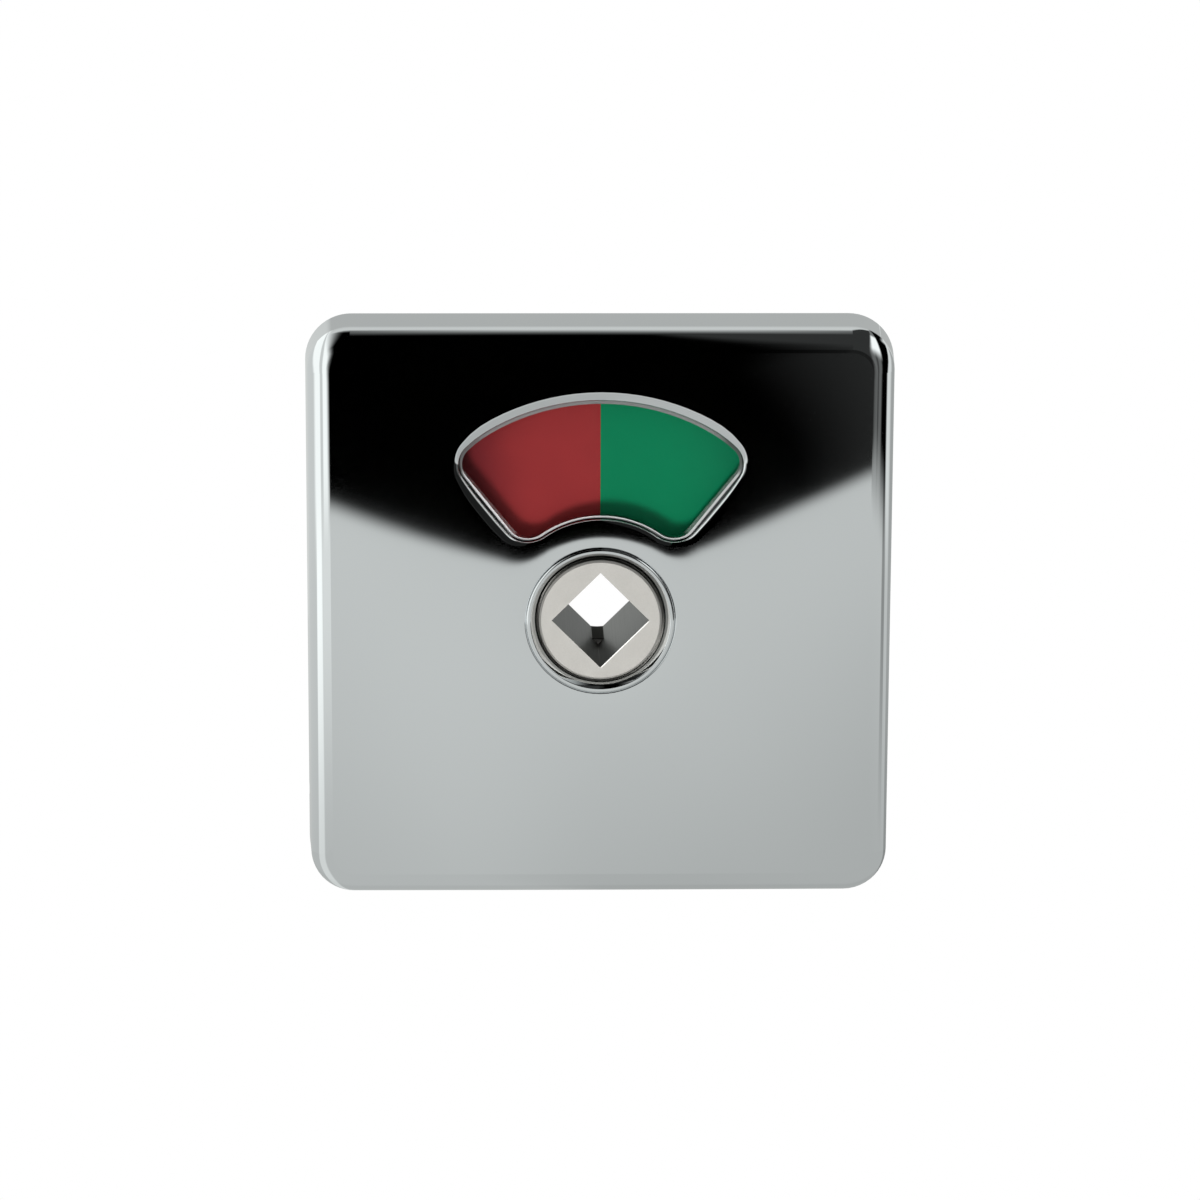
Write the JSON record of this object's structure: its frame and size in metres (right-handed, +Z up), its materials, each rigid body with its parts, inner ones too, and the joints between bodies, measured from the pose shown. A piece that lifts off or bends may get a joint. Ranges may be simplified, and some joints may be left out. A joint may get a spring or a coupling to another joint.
{
  "type": "door occupancy indicator",
  "caption": "Square chromed door indicator with a sector window over a red and green dial, turned by a square spindle hub that a key can also turn from outside.",
  "frame": {"origin": "axis of the spindle hole, in the plane of the door's face", "axes": "+Y into the door along the spindle, so the front faces -Y; +Z up the door; +X to the right seen from the front"},
  "size_m": [0.07, 0.0173, 0.07],
  "materials": {
    "chrome_plate": "polished chrome plating",
    "clear_lens": "clear polycarbonate",
    "spring_steel": "blued spring steel",
    "zinc_plate": "bright zinc plating",
    "zinc_screw": "bright zinc plating",
    "nylon": "moulded nylon",
    "pillar_brass": "turned brass",
    "satin_nickel": "satin nickel",
    "dial_plastic": "moulded plastic",
    "red_foil": "printed foil",
    "green_foil": "printed foil"
  },
  "bodies": {
    "housing": {"cover": "chrome_plate", "bezel": "chrome_plate", "lens": "clear_lens", "lens_washers": "spring_steel", "back_plate": "zinc_plate", "back_plate_screws": "zinc_screw", "hub_bush": "nylon", "face_washer": "nylon", "fixing_pillar_left": "pillar_brass", "fixing_pillar_right": "pillar_brass", "stop_pin_left": "zinc_screw", "stop_pin_right": "zinc_screw"},
    "indicator": {"release_hub": "satin_nickel", "dial": "dial_plastic", "dial_retainer": "spring_steel", "red_sector": "red_foil", "green_sector": "green_foil", "thrust_washer": "zinc_screw", "friction_spring": "spring_steel", "retaining_clip": "spring_steel"}
  },
  "joints": [
    {"name": "release_turn", "type": "hinge", "parent": "housing", "child": "indicator", "pos_m": [0, 0, 0], "axis": [0, -1, 0], "range_deg": [-45, 45]}
  ]
}
